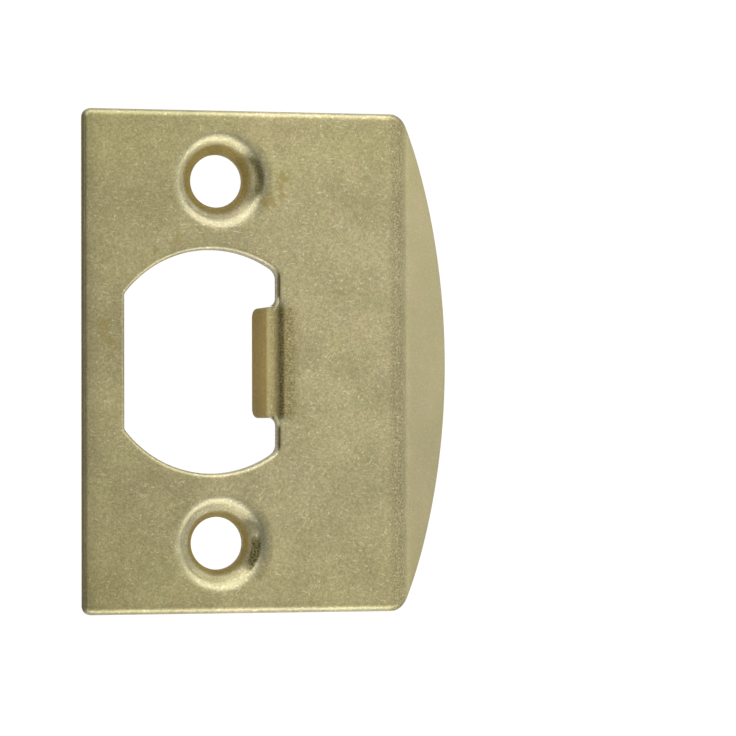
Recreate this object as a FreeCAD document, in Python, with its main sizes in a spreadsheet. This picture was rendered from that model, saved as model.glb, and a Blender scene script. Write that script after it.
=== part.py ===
import FreeCAD, Part
import math
import os
import Sketcher

# Door strike plate, folded and pressed from one sheet of brass.
#
# The plate lies parallel to the XY plane with its front face towards +Z. The two screw holes stand on
# the Y axis, the same distance above and below the origin, which is level with the middle of their
# throats. The lip is on the +X side and folds down past the back, and so does the tang inside the
# opening. All sketches are drawn with the back of the plate on z = 0, and the body is lifted at the
# end, so that the screw holes' own middle is the part's origin.

# Driving dimensions, in millimetres and degrees: name, value, meaning.
SIZES = (
    ("sheet", 1.5, "thickness of the metal"),
    ("edge_round", 0.35, "radius of the front edges"),
    ("left_land", 4.775, "opening's flat left side to the plate's left edge"),
    ("left_corner", 1.0, "radius of the two corners on the left"),
    ("fold_line", 19.5, "screw line to where the lip starts to bend"),
    ("lip_bend", 2.5, "inner radius of the lip's bend"),
    ("lip_angle", 40.0, "angle that the lip is folded through"),
    ("lip_reach", 28.575, "screw line to the outermost point of the lip"),
    ("lip_arc", 50.0, "radius of the lip's curved edge"),
    ("lip_corner", 3.0, "radius of the two corners at the lip"),
    ("trim", 1.5, "extra metal round the blank before its outline is cut"),
    ("screw_to_opening", 7.9375, "screw hole's centre to the opening's round end"),
    ("screw_to_end", 7.9375, "screw hole's centre to the plate's top or bottom edge"),
    ("screw_hole", 6.0, "diameter of a screw hole at its throat"),
    ("sink_angle", 82.0, "full angle of the countersink"),
    ("sink_depth", 2.25, "front face to the throat of the countersink"),
    ("throat_land", 0.5, "straight wall of the hole below the countersink"),
    ("dimple_root", 0.5, "radius where a dimple leaves the back of the plate"),
    ("opening_circle", 25.4, "diameter of the opening's round ends"),
    ("opening_centre", 0.95, "screw line to the opening's centre, to the left"),
    ("opening_left", 10.15, "opening's centre to its flat left side"),
    ("opening_right", 7.62, "opening's centre to its flat right side"),
    ("opening_soft_corner", 1.5, "radius of the opening's corners on the right"),
    ("opening_tight_corner", 0.4, "radius of the opening's corners on the left"),
    ("tang_height", 12.7, "tang, top side to bottom side"),
    ("tang_inset", 1.33, "opening's right side to where the tang starts to bend"),
    ("tang_bend", 0.7, "inner radius of the tang's bend"),
    ("tang_drop", 9.0, "front face to the tip of the tang"),
    ("tang_corner", 1.2, "radius of the tang's two tip corners"),
    ("tang_shoulder", 0.8, "width over which the plate runs down to the tang's bend"),
    ("tang_edge_round", 0.25, "radius of the tang's front edges"),
)

doc = FreeCAD.newDocument("door_strike_plate")

sheet_of_sizes = doc.addObject("Spreadsheet::Sheet", "Sizes")
for row, (alias, value, meaning) in enumerate(SIZES, start=1):
    sheet_of_sizes.set("A%d" % row, meaning)
    sheet_of_sizes.set("B%d" % row, str(value))
    sheet_of_sizes.setAlias("B%d" % row, alias)
doc.recompute()


def size(alias):
    """The number in the sheet's cell of that name."""
    return float(getattr(sheet_of_sizes, alias))


body = doc.addObject("PartDesign::Body", "StrikePlate")
body.Label = "strike_plate"


def origin_plane(role):
    """One of the body's own three base planes."""
    for feature in body.Origin.OriginFeatures:
        if feature.Role == role:
            return feature
    raise ValueError("no plane " + role)


def new_sketch(name, role):
    """An empty sketch on one of the body's base planes."""
    sketch = body.newObject("Sketcher::SketchObject", name)
    sketch.AttachmentSupport = (origin_plane(role), [""])
    sketch.MapMode = "FlatFace"
    return sketch


def vector(x, y):
    return FreeCAD.Vector(x, y, 0)


def add_lines(sketch, *points):
    """Joined straight lines through the points. Returns their numbers in the sketch."""
    lines = []
    for start, end in zip(points, points[1:]):
        lines.append(sketch.addGeometry(Part.LineSegment(vector(*start), vector(*end)), False))
    for line, following in zip(lines, lines[1:]):
        join(sketch, line, END, following, START)
    return lines


def add_arc(sketch, centre, radius, first_deg, last_deg):
    """An arc drawn anticlockwise from the first angle to the last. Returns its number."""
    circle = Part.Circle(vector(*centre), FreeCAD.Vector(0, 0, 1), radius)
    arc = Part.ArcOfCircle(circle, math.radians(first_deg), math.radians(last_deg))
    return sketch.addGeometry(arc, False)


# Points of a line or an arc, and the sketch's own axes and origin, as constraints number them.
START, END, CENTRE = range(1, 4)
X_AXIS, Y_AXIS = range(-1, -3, -1)
ROOT = (X_AXIS, START)


def rule(sketch, kind, *where):
    sketch.addConstraint(Sketcher.Constraint(kind, *where))


def join(sketch, one, one_point, other, other_point):
    rule(sketch, "Coincident", one, one_point, other, other_point)


def dimension(sketch, kind, *where, value, formula):
    """A dimension that starts at a value and is bound to the sheet by a formula."""
    number = sketch.addConstraint(Sketcher.Constraint(kind, *where, value))
    sketch.setExpression("Constraints[%d]" % number, formula)


def pad(name, sketch, length_formula):
    """The sketch's outline thickened equally to both sides of its plane."""
    feature = body.newObject("PartDesign::Pad", name)
    feature.Profile = sketch
    feature.SideType = "Symmetric"
    feature.setExpression("Length", length_formula)
    return finish(feature, sketch)


def pocket(name, sketch):
    """The sketch's outline cut right through, to both sides of its plane."""
    feature = body.newObject("PartDesign::Pocket", name)
    feature.Profile = sketch
    feature.SideType = "Symmetric"
    feature.Type = "ThroughAll"
    return finish(feature, sketch)


def turned(kind, name, sketch):
    """The sketch's outline turned about its own upright axis."""
    feature = body.newObject(kind, name)
    feature.Profile = sketch
    feature.ReferenceAxis = (sketch, ["V_Axis"])
    feature.Angle = 360
    return finish(feature, sketch)


def mirrored(name, originals):
    """The same features on the other side of the plane y = 0."""
    feature = body.newObject("PartDesign::Mirrored", name)
    feature.Originals = originals
    feature.MirrorPlane = (origin_plane("XZ_Plane"), [""])
    body.Tip = feature
    doc.recompute()
    return feature


def finish(feature, sketch):
    sketch.Visibility = False
    doc.recompute()
    return feature


def fillet(name, base, chosen, radius_formula):
    """A rounding on those edges of the base feature that a test chooses."""
    names = ["Edge%d" % n for n, edge in enumerate(base.Shape.Edges, start=1) if chosen(edge)]
    if not names:
        raise ValueError("no edge for " + name)
    feature = body.newObject("PartDesign::Fillet", name)
    feature.Base = (base, names)
    feature.Refine = False
    feature.setExpression("Radius", radius_formula)
    doc.recompute()
    return feature


NEAR = 0.01


def is_upright_at(edge, x, y):
    """Whether an edge runs parallel to Z at that place."""
    return all(abs(v.X - x) < NEAR and abs(v.Y - y) < NEAR for v in edge.Vertexes)


metal = size("sheet")
half_tang = size("tang_height") / 2
fold_line = size("fold_line")
lip_angle = math.radians(size("lip_angle"))

# Sizes that follow from the others: the number, and the same sum as a formula for the constraints.
# The plate is as large as its opening, its screw holes and the metal left round them.
screw_y = size("opening_circle") / 2 + size("screw_to_opening")
SCREW_Y = "(Sizes.opening_circle / 2 + Sizes.screw_to_opening)"
half_height = screw_y + size("screw_to_end")
HALF_HEIGHT = "(" + SCREW_Y + " + Sizes.screw_to_end)"
left_end = -(size("opening_centre") + size("opening_left") + size("left_land"))
LEFT_MARGIN = "(Sizes.opening_centre + Sizes.opening_left + Sizes.left_land)"
lip_bend = size("lip_bend") + metal
LIP_BEND = "(Sizes.lip_bend + Sizes.sheet)"
tang_bend = size("tang_bend") + metal
TANG_BEND = "(Sizes.tang_bend + Sizes.sheet)"

# The sheet, folded once
#
# One section, drawn on the XZ plane, is the flat plate, the bend and the lip. The lip and the two
# ends are left long here, and the outline is cut next.
section = new_sketch("SheetSection", "XZ_Plane")
bend_centre = (fold_line, metal - lip_bend)
across = (math.sin(lip_angle), math.cos(lip_angle))
along = (math.cos(lip_angle), -math.sin(lip_angle))
lip_start = (bend_centre[0] + lip_bend * across[0], bend_centre[1] + lip_bend * across[1])
blank_reach = size("lip_reach") + size("trim")
lip_length = (blank_reach - lip_start[0]) / along[0]
lip_end = (blank_reach, lip_start[1] + lip_length * along[1])
front = add_lines(section, (left_end, metal), (fold_line, metal))[0]
outer_bend = add_arc(section, bend_centre, lip_bend, 90 - size("lip_angle"), 90)
lip_front, lip_edge, lip_back = add_lines(
    section,
    lip_start,
    lip_end,
    (lip_end[0] - metal * across[0], lip_end[1] - metal * across[1]),
    (lip_start[0] - metal * across[0], lip_start[1] - metal * across[1]),
)
inner_bend = add_arc(section, bend_centre, lip_bend - metal, 90 - size("lip_angle"), 90)
back, left_edge = add_lines(section, (fold_line, 0), (left_end, 0), (left_end, metal))
rule(section, "Tangent", front, END, outer_bend, END)
rule(section, "Tangent", outer_bend, START, lip_front, START)
rule(section, "Tangent", lip_back, END, inner_bend, START)
rule(section, "Tangent", inner_bend, END, back, START)
join(section, outer_bend, CENTRE, inner_bend, CENTRE)
join(section, left_edge, END, front, START)
rule(section, "Horizontal", front)
rule(section, "Horizontal", back)
rule(section, "Vertical", left_edge)
rule(section, "Perpendicular", lip_front, lip_edge)
rule(section, "Perpendicular", lip_edge, lip_back)
rule(section, "PointOnObject", left_edge, START, X_AXIS)
dimension(section, "DistanceX", left_edge, START, *ROOT, value=-left_end, formula=LEFT_MARGIN)
dimension(section, "DistanceY", left_edge, START, left_edge, END, value=metal, formula="Sizes.sheet")
dimension(section, "DistanceX", *ROOT, outer_bend, CENTRE, value=fold_line, formula="Sizes.fold_line")
dimension(section, "Radius", outer_bend, value=lip_bend, formula=LIP_BEND)
dimension(section, "Angle", lip_front, value=-lip_angle, formula="-Sizes.lip_angle * 1 deg")
dimension(
    section, "DistanceX", *ROOT, lip_front, END,
    value=blank_reach, formula="Sizes.lip_reach + Sizes.trim",
)
folded_sheet = pad("FoldedSheet", section, "2 * (" + HALF_HEIGHT + " + Sizes.trim)")

# The outline
#
# The outline is cut square to the lip's own face, as a blank's edge stays square to the sheet when
# the sheet is folded. The sketch lies in the lip's front face. Its origin is the corner that the
# rounding of the edge then brings back to the lip's reach, and the lip's arc passes through it.
# All that lies between the outline and a larger frame is cut away.
LIP_TURN = "(Sizes.lip_angle * 1 deg)"
LIP_TIP = (
    "(Sizes.lip_reach + Sizes.edge_round * (sin" + LIP_TURN + " + cos" + LIP_TURN + " - 1))"
)
LIP_FALL = (
    "(" + LIP_BEND + " * (1 - cos" + LIP_TURN + ") + tan" + LIP_TURN + " * (" + LIP_TIP
    + " - Sizes.fold_line - " + LIP_BEND + " * sin" + LIP_TURN + "))"
)
BEYOND_LEFT = "(" + LEFT_MARGIN + " + Sizes.lip_reach + Sizes.sheet)"
outline = new_sketch("LipOutline", "XY_Plane")
outline.AttachmentOffset = FreeCAD.Placement(
    FreeCAD.Vector(0, 0, 0), FreeCAD.Rotation(FreeCAD.Vector(0, 1, 0), size("lip_angle"))
)
outline.setExpression(".AttachmentOffset.Base.x", LIP_TIP)
outline.setExpression(".AttachmentOffset.Base.z", "Sizes.sheet - " + LIP_FALL)
outline.setExpression(".AttachmentOffset.Rotation.Angle", LIP_TURN)
lip_arc = size("lip_arc")
corner = size("lip_corner")
beyond_left = size("lip_reach") - left_end + metal
corner_u = math.sqrt((lip_arc - corner) ** 2 - (half_height - corner) ** 2) - lip_arc
corner_turn = math.degrees(math.atan2(half_height - corner, corner_u + lip_arc))
lip_curve = add_arc(outline, (-lip_arc, 0), lip_arc, -corner_turn, corner_turn)
upper_corner = add_arc(outline, (corner_u, half_height - corner), corner, corner_turn, 90)
lower_corner = add_arc(outline, (corner_u, corner - half_height), corner, -90, -corner_turn)
top_side, far_side, bottom_side = add_lines(
    outline,
    (corner_u, half_height),
    (-beyond_left, half_height),
    (-beyond_left, -half_height),
    (corner_u, -half_height),
)
rule(outline, "Tangent", lip_curve, END, upper_corner, START)
rule(outline, "Tangent", upper_corner, END, top_side, START)
rule(outline, "Tangent", bottom_side, END, lower_corner, START)
rule(outline, "Tangent", lower_corner, END, lip_curve, START)
rule(outline, "Equal", upper_corner, lower_corner)
rule(outline, "Horizontal", top_side)
rule(outline, "Horizontal", bottom_side)
rule(outline, "PointOnObject", lip_curve, CENTRE, X_AXIS)
rule(outline, "Symmetric", far_side, START, far_side, END, X_AXIS)
dimension(outline, "Radius", lip_curve, value=lip_arc, formula="Sizes.lip_arc")
dimension(outline, "DistanceX", lip_curve, CENTRE, *ROOT, value=lip_arc, formula="Sizes.lip_arc")
dimension(outline, "Radius", upper_corner, value=corner, formula="Sizes.lip_corner")
dimension(
    outline, "DistanceX", far_side, START, *ROOT, value=beyond_left, formula=BEYOND_LEFT
)
dimension(outline, "DistanceY", *ROOT, far_side, START, value=half_height, formula=HALF_HEIGHT)
frame_u = 2 * beyond_left
frame_v = half_height + 2 * size("trim")
frame_top, frame_left, frame_bottom, frame_right = add_lines(
    outline,
    (frame_u, frame_v),
    (-frame_u, frame_v),
    (-frame_u, -frame_v),
    (frame_u, -frame_v),
    (frame_u, frame_v),
)
join(outline, frame_right, END, frame_top, START)
rule(outline, "Horizontal", frame_top)
rule(outline, "Horizontal", frame_bottom)
rule(outline, "Vertical", frame_left)
rule(outline, "Vertical", frame_right)
rule(outline, "Symmetric", frame_top, START, frame_bottom, START, *ROOT)
dimension(
    outline, "DistanceX", *ROOT, frame_top, START, value=frame_u, formula="2 * " + BEYOND_LEFT
)
dimension(
    outline, "DistanceY", *ROOT, frame_top, START,
    value=frame_v, formula=HALF_HEIGHT + " + 2 * Sizes.trim",
)
trimmed = pocket("OutlineCut", outline)

# The two corners on the left
left_corners = fillet(
    "LeftCorners",
    trimmed,
    lambda edge: is_upright_at(edge, left_end, half_height)
    or is_upright_at(edge, left_end, -half_height),
    "Sizes.left_corner",
)


# The rounded front edge
#
# The press leaves a soft edge all round the front. One straight edge is picked, and the rounding
# follows the rest of the outline, over the bend and along the lip's curve.
def is_front_edge_at(edge, x):
    """Whether a straight edge runs along Y in the front face at that place."""
    return all(abs(v.X - x) < NEAR and abs(v.Z - metal) < NEAR for v in edge.Vertexes)


soft_outline = fillet(
    "OutlineEdges", left_corners, lambda edge: is_front_edge_at(edge, left_end), "Sizes.edge_round"
)

# The opening for the latch
#
# A round hole with a flat on each side, punched a little to the left of the screw line.
opening = new_sketch("Opening", "XY_Plane")
centre = -size("opening_centre")
ring = size("opening_circle") / 2
left_flat = centre - size("opening_left")
right_flat = centre + size("opening_right")
left_turn = math.degrees(math.acos(size("opening_left") / ring))
right_turn = math.degrees(math.acos(size("opening_right") / ring))
left_y = ring * math.sin(math.radians(left_turn))
right_y = ring * math.sin(math.radians(right_turn))
top_arc = add_arc(opening, (centre, 0), ring, right_turn, 180 - left_turn)
left_side = add_lines(opening, (left_flat, left_y), (left_flat, -left_y))[0]
bottom_arc = add_arc(opening, (centre, 0), ring, 180 + left_turn, 360 - right_turn)
right_side = add_lines(opening, (right_flat, -right_y), (right_flat, right_y))[0]
join(opening, top_arc, END, left_side, START)
join(opening, left_side, END, bottom_arc, START)
join(opening, bottom_arc, END, right_side, START)
join(opening, right_side, END, top_arc, START)
join(opening, top_arc, CENTRE, bottom_arc, CENTRE)
rule(opening, "Vertical", left_side)
rule(opening, "Vertical", right_side)
rule(opening, "Equal", top_arc, bottom_arc)
rule(opening, "PointOnObject", top_arc, CENTRE, X_AXIS)
dimension(opening, "Diameter", top_arc, value=2 * ring, formula="Sizes.opening_circle")
dimension(
    opening, "DistanceX", top_arc, CENTRE, *ROOT, value=-centre, formula="Sizes.opening_centre"
)
dimension(
    opening, "DistanceX", left_side, START, top_arc, CENTRE,
    value=size("opening_left"), formula="Sizes.opening_left",
)
dimension(
    opening, "DistanceX", top_arc, CENTRE, right_side, START,
    value=size("opening_right"), formula="Sizes.opening_right",
)
punched = pocket("LatchOpening", opening)
tight_corners = fillet(
    "OpeningLeftCorners",
    punched,
    lambda edge: is_upright_at(edge, left_flat, left_y) or is_upright_at(edge, left_flat, -left_y),
    "Sizes.opening_tight_corner",
)
soft_corners = fillet(
    "OpeningRightCorners",
    tight_corners,
    lambda edge: is_upright_at(edge, right_flat, right_y)
    or is_upright_at(edge, right_flat, -right_y),
    "Sizes.opening_soft_corner",
)
soft_opening = fillet(
    "OpeningEdges", soft_corners, lambda edge: is_front_edge_at(edge, left_flat), "Sizes.edge_round"
)


# The tang
#
# The right side of the opening carries a tang that is bent square to the back. Its bend starts a
# little inside the plate, so the plate is first notched back to that line.
tang_line = right_flat + size("tang_inset")
shoulder_y = half_tang + size("tang_shoulder")
TANG_LINE = "(Sizes.opening_right - Sizes.opening_centre + Sizes.tang_inset)"
notch = new_sketch("TangNotch", "XY_Plane")
notch_sides = add_lines(
    notch,
    (centre, shoulder_y),
    (centre, -shoulder_y),
    (tang_line, -shoulder_y),
    (tang_line, shoulder_y),
    (centre, shoulder_y),
)
notch_left, notch_bottom, notch_right, notch_top = notch_sides
join(notch, notch_top, END, notch_left, START)
rule(notch, "Horizontal", notch_top)
rule(notch, "Symmetric", notch_left, START, notch_left, END, X_AXIS)
rule(notch, "Symmetric", notch_right, START, notch_right, END, X_AXIS)
dimension(
    notch, "DistanceX", notch_left, START, *ROOT, value=-centre, formula="Sizes.opening_centre"
)
dimension(notch, "DistanceX", *ROOT, notch_right, END, value=tang_line, formula=TANG_LINE)
dimension(
    notch, "DistanceY", *ROOT, notch_right, END,
    value=shoulder_y, formula="Sizes.tang_height / 2 + Sizes.tang_shoulder",
)
notched = pocket("TangNotchCut", notch)

tang = new_sketch("TangSection", "XZ_Plane")
tang_face = tang_line - tang_bend
tang_tip = metal - size("tang_drop")
tang_centre = (tang_line, metal - tang_bend)
tang_outer = add_arc(tang, tang_centre, tang_bend, 90, 180)
tang_front, tang_end, tang_rear = add_lines(
    tang,
    (tang_face, tang_centre[1]),
    (tang_face, tang_tip),
    (tang_face + metal, tang_tip),
    (tang_face + metal, tang_centre[1]),
)
tang_inner = add_arc(tang, tang_centre, tang_bend - metal, 90, 180)
tang_root = add_lines(tang, (tang_line, 0), (tang_line, metal))[0]
join(tang, tang_root, END, tang_outer, START)
rule(tang, "Tangent", tang_outer, END, tang_front, START)
rule(tang, "Tangent", tang_rear, END, tang_inner, END)
join(tang, tang_inner, START, tang_root, START)
join(tang, tang_outer, CENTRE, tang_inner, CENTRE)
rule(tang, "Vertical", tang_front)
rule(tang, "Horizontal", tang_end)
rule(tang, "Vertical", tang_rear)
rule(tang, "Vertical", tang_root)
rule(tang, "Vertical", tang_root, START, tang_outer, CENTRE)
dimension(tang, "Radius", tang_outer, value=tang_bend, formula=TANG_BEND)
dimension(tang, "DistanceX", *ROOT, tang_outer, CENTRE, value=tang_line, formula=TANG_LINE)
dimension(tang, "DistanceY", *ROOT, tang_root, END, value=metal, formula="Sizes.sheet")
dimension(
    tang, "DistanceY", tang_root, START, tang_root, END, value=metal, formula="Sizes.sheet"
)
dimension(
    tang, "DistanceY", tang_front, END, tang_outer, START,
    value=size("tang_drop"), formula="Sizes.tang_drop",
)
tang_pad = pad("Tang", tang, "Sizes.tang_height")


def is_tang_corner(edge):
    """A short edge across the tang's thickness at its tip."""
    return abs(edge.Length - metal) < NEAR and all(
        abs(abs(v.Y) - half_tang) < NEAR and abs(v.Z - tang_tip) < NEAR for v in edge.Vertexes
    )


def is_tang_lip(edge):
    """The straight edge along the tang's tip, on the side of its front face."""
    return all(abs(v.X - tang_face) < NEAR and abs(v.Z - tang_tip) < NEAR for v in edge.Vertexes)


tang_corners = fillet("TangCorners", tang_pad, is_tang_corner, "Sizes.tang_corner")
tang_edges = fillet("TangEdges", tang_corners, is_tang_lip, "Sizes.tang_edge_round")

# The shoulders beside the tang
#
# The metal next to the bend is drawn down with it, so the front runs down from the flat plate to
# the bend over a short ramp. The ramp lies between two sections: the flat plate's, and the same
# stretch of the tang's bend just inside its rounded edge.
inset = size("tang_inset")
ramp_turn = math.degrees(math.asin(inset / tang_bend))
ramp_y = half_tang - size("tang_edge_round")
SHOULDER_Y = "(Sizes.tang_height / 2 + Sizes.tang_shoulder)"
RAMP_Y = "(Sizes.tang_height / 2 - Sizes.tang_edge_round)"


def ramp_sketch(name, offset, offset_formula):
    """A sketch parallel to the XZ plane, above the middle of the plate by an offset."""
    sketch = new_sketch(name, "XZ_Plane")
    sketch.AttachmentOffset = FreeCAD.Placement(
        FreeCAD.Vector(0, 0, -offset), FreeCAD.Rotation()
    )
    sketch.setExpression(".AttachmentOffset.Base.z", "-" + offset_formula)
    return sketch


def place_ramp(sketch, side, bottom, root):
    """The two upright sides and the flat back, which both sections share."""
    rule(sketch, "Vertical", side)
    rule(sketch, "Vertical", root)
    rule(sketch, "Horizontal", bottom)
    rule(sketch, "PointOnObject", root, START, X_AXIS)
    dimension(sketch, "DistanceX", *ROOT, root, START, value=tang_line, formula=TANG_LINE)
    dimension(sketch, "DistanceY", root, START, root, END, value=metal, formula="Sizes.sheet")
    dimension(
        sketch, "DistanceX", bottom, START, bottom, END,
        value=inset, formula="Sizes.tang_inset",
    )


edge_round = size("edge_round")
rounded_line = right_flat + edge_round
flat_end = ramp_sketch("RampAtPlate", shoulder_y, SHOULDER_Y)
flat_top = add_lines(flat_end, (tang_line, metal), (rounded_line, metal))[0]
flat_edge = add_arc(flat_end, (rounded_line, metal - edge_round), edge_round, 90, 180)
flat_side, flat_bottom, flat_root = add_lines(
    flat_end, (right_flat, metal - edge_round), (right_flat, 0), (tang_line, 0), (tang_line, metal)
)
join(flat_end, flat_root, END, flat_top, START)
rule(flat_end, "Horizontal", flat_top)
rule(flat_end, "Tangent", flat_top, END, flat_edge, START)
rule(flat_end, "Tangent", flat_edge, END, flat_side, START)
dimension(flat_end, "Radius", flat_edge, value=edge_round, formula="Sizes.edge_round")
place_ramp(flat_end, flat_side, flat_bottom, flat_root)

bent_end = ramp_sketch("RampAtTang", ramp_y, RAMP_Y)
edge_turn = math.degrees(math.asin((inset - edge_round) / tang_bend))
bent_top = add_arc(bent_end, tang_centre, tang_bend, 90, 90 + edge_turn)
bent_edge = add_arc(bent_end, tang_centre, tang_bend, 90 + edge_turn, 90 + ramp_turn)
ramp_foot = tang_centre[1] + tang_bend * math.cos(math.radians(ramp_turn))
bent_side, bent_bottom, bent_root = add_lines(
    bent_end, (right_flat, ramp_foot), (right_flat, 0), (tang_line, 0), (tang_line, metal)
)
join(bent_end, bent_top, END, bent_edge, START)
join(bent_end, bent_top, CENTRE, bent_edge, CENTRE)
join(bent_end, bent_edge, END, bent_side, START)
join(bent_end, bent_root, END, bent_top, START)
rule(bent_end, "Vertical", bent_root, START, bent_top, CENTRE)
dimension(bent_end, "Radius", bent_top, value=tang_bend, formula=TANG_BEND)
dimension(
    bent_end, "DistanceX", bent_top, END, bent_top, START,
    value=inset - edge_round, formula="Sizes.tang_inset - Sizes.edge_round",
)
place_ramp(bent_end, bent_side, bent_bottom, bent_root)

ramp = body.newObject("PartDesign::AdditiveLoft", "Ramp")
ramp.Profile = flat_end
ramp.Sections = [bent_end]
ramp.Ruled = True
finish(ramp, flat_end)
bent_end.Visibility = False
both_ramps = mirrored("BothRamps", [ramp])

# The screw holes
#
# Each hole is pressed down into a dimple, so that a countersunk head sits flush in sheet that is
# thinner than the head. The wall of the dimple is as thick as the sheet: outside it is a cone with
# the countersink's own slope, and it ends in a flat ring round the hole.
HALF_ANGLE = "(Sizes.sink_angle / 2 * 1 deg)"
SINK_RADIUS = "(Sizes.screw_hole / 2 + Sizes.sink_depth * tan" + HALF_ANGLE + ")"
BOSS_RADIUS = (
    "(" + SINK_RADIUS + " + Sizes.sheet * (1 - sin" + HALF_ANGLE + ") / cos" + HALF_ANGLE + ")"
)
BOSS_FALL = "(Sizes.sink_depth + Sizes.throat_land - Sizes.sheet)"
half_angle = math.radians(size("sink_angle") / 2)
hole = size("screw_hole") / 2
sink_radius = hole + size("sink_depth") * math.tan(half_angle)
boss_radius = sink_radius + metal * (1 - math.sin(half_angle)) / math.cos(half_angle)
boss_fall = size("sink_depth") + size("throat_land") - metal
boss_foot = boss_radius - boss_fall * math.tan(half_angle)


def screw_sketch(name):
    """A sketch on the YZ plane with its upright axis on the upper screw hole's centre."""
    sketch = new_sketch(name, "YZ_Plane")
    sketch.AttachmentOffset = FreeCAD.Placement(FreeCAD.Vector(screw_y, 0, 0), FreeCAD.Rotation())
    sketch.setExpression(".AttachmentOffset.Base.x", SCREW_Y)
    return sketch


dimple = screw_sketch("DimpleOutside")
mid_sheet = metal / 2
dimple_axis, dimple_foot, dimple_cone, dimple_wall, dimple_top = add_lines(
    dimple,
    (0, mid_sheet),
    (0, -boss_fall),
    (boss_foot, -boss_fall),
    (boss_radius, 0),
    (boss_radius, mid_sheet),
    (0, mid_sheet),
)
join(dimple, dimple_top, END, dimple_axis, START)
rule(dimple, "PointOnObject", dimple_axis, START, Y_AXIS)
rule(dimple, "Vertical", dimple_axis)
rule(dimple, "Horizontal", dimple_foot)
rule(dimple, "Vertical", dimple_wall)
rule(dimple, "Horizontal", dimple_top)
rule(dimple, "PointOnObject", dimple_wall, START, X_AXIS)
dimension(
    dimple, "DistanceY", *ROOT, dimple_axis, START, value=mid_sheet, formula="Sizes.sheet / 2"
)
dimension(
    dimple, "DistanceY", dimple_axis, END, *ROOT, value=boss_fall, formula=BOSS_FALL
)
dimension(
    dimple, "DistanceX", *ROOT, dimple_wall, START, value=boss_radius, formula=BOSS_RADIUS
)
dimension(
    dimple, "DistanceX", *ROOT, dimple_cone, START, value=boss_foot,
    formula=BOSS_RADIUS + " - " + BOSS_FALL + " * tan" + HALF_ANGLE,
)
dimple_outside = turned("PartDesign::Revolution", "DimpleBack", dimple)

sink = screw_sketch("Countersink")
sink_top, sink_axis, sink_floor, sink_throat, sink_cone = add_lines(
    sink,
    (sink_radius, metal),
    (0, metal),
    (0, -2 * boss_fall),
    (hole, -2 * boss_fall),
    (hole, metal - size("sink_depth")),
    (sink_radius, metal),
)
join(sink, sink_cone, END, sink_top, START)
rule(sink, "PointOnObject", sink_axis, START, Y_AXIS)
rule(sink, "Horizontal", sink_top)
rule(sink, "Vertical", sink_axis)
rule(sink, "Horizontal", sink_floor)
rule(sink, "Vertical", sink_throat)
dimension(sink, "DistanceY", *ROOT, sink_axis, START, value=metal, formula="Sizes.sheet")
dimension(
    sink, "DistanceY", sink_axis, END, *ROOT, value=2 * boss_fall, formula="2 * " + BOSS_FALL
)
dimension(sink, "DistanceX", *ROOT, sink_throat, START, value=hole, formula="Sizes.screw_hole / 2")
dimension(
    sink, "DistanceY", sink_throat, END, sink_top, START,
    value=size("sink_depth"), formula="Sizes.sink_depth",
)
dimension(
    sink, "DistanceX", *ROOT, sink_top, START, value=sink_radius, formula=SINK_RADIUS
)
sunk_hole = turned("PartDesign::Groove", "ScrewHole", sink)
both_holes = mirrored("BothScrewHoles", [dimple_outside, sunk_hole])


def is_ring(edge, radius, z):
    """Whether an edge is a full circle of that radius and height about either screw hole."""
    curve = edge.Curve
    if not isinstance(curve, Part.Circle) or abs(curve.Radius - radius) > NEAR:
        return False
    return abs(curve.Center.z - z) < NEAR and abs(abs(curve.Center.y) - screw_y) < NEAR


# Pressed sheet bends round one centre, so the rim in front is the root's radius and the sheet more.
soft_rims = fillet(
    "SoftRims",
    both_holes,
    lambda edge: is_ring(edge, sink_radius, metal),
    "Sizes.dimple_root + Sizes.sheet",
)
strike_plate = fillet(
    "DimpleRoots", soft_rims, lambda edge: is_ring(edge, boss_radius, 0), "Sizes.dimple_root"
)
body.setExpression(
    ".Placement.Base.z", "Sizes.sink_depth + Sizes.throat_land / 2 - Sizes.sheet"
)
doc.recompute()

# Checks before anything is written
for thing in doc.Objects:
    if "Invalid" in thing.State or "Error" in thing.State:
        raise RuntimeError("not built: " + thing.Name)
solid = body.Shape
if solid.isNull() or not solid.isValid() or len(solid.Solids) != 1:
    raise RuntimeError("the plate is not one valid solid")

os.makedirs("parts", exist_ok=True)
solid.exportStep("parts/" + body.Label + ".step")
box = solid.optimalBoundingBox()
print("%s: %.1f mm3, %d faces" % (body.Label, solid.Volume, len(solid.Faces)))
print("box %.3f x %.3f x %.3f mm" % (box.XLength, box.YLength, box.ZLength))
print("from z %.3f to %.3f mm" % (box.ZMin, box.ZMax))
print("centre of mass", [round(c, 3) for c in solid.Solids[0].CenterOfMass])
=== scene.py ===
# %% [markdown]
# # A brass door strike plate
#
# A strike plate is screwed to a door jamb. The latch bolt of the door rides up its curved lip and
# drops into its opening. It is stamped from one flat sheet of brass: the outline, the opening and
# the screw holes are punched, the holes are pressed down into dimples, and the lip and a short
# tang are folded to the back.
#
# This lesson makes it in much the same order: a flat blank, its thickness, the dimples, the soft
# edges and last the two folds. After that come the finish, the lights and the camera.

# %% Load the measured frame
import math

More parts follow.
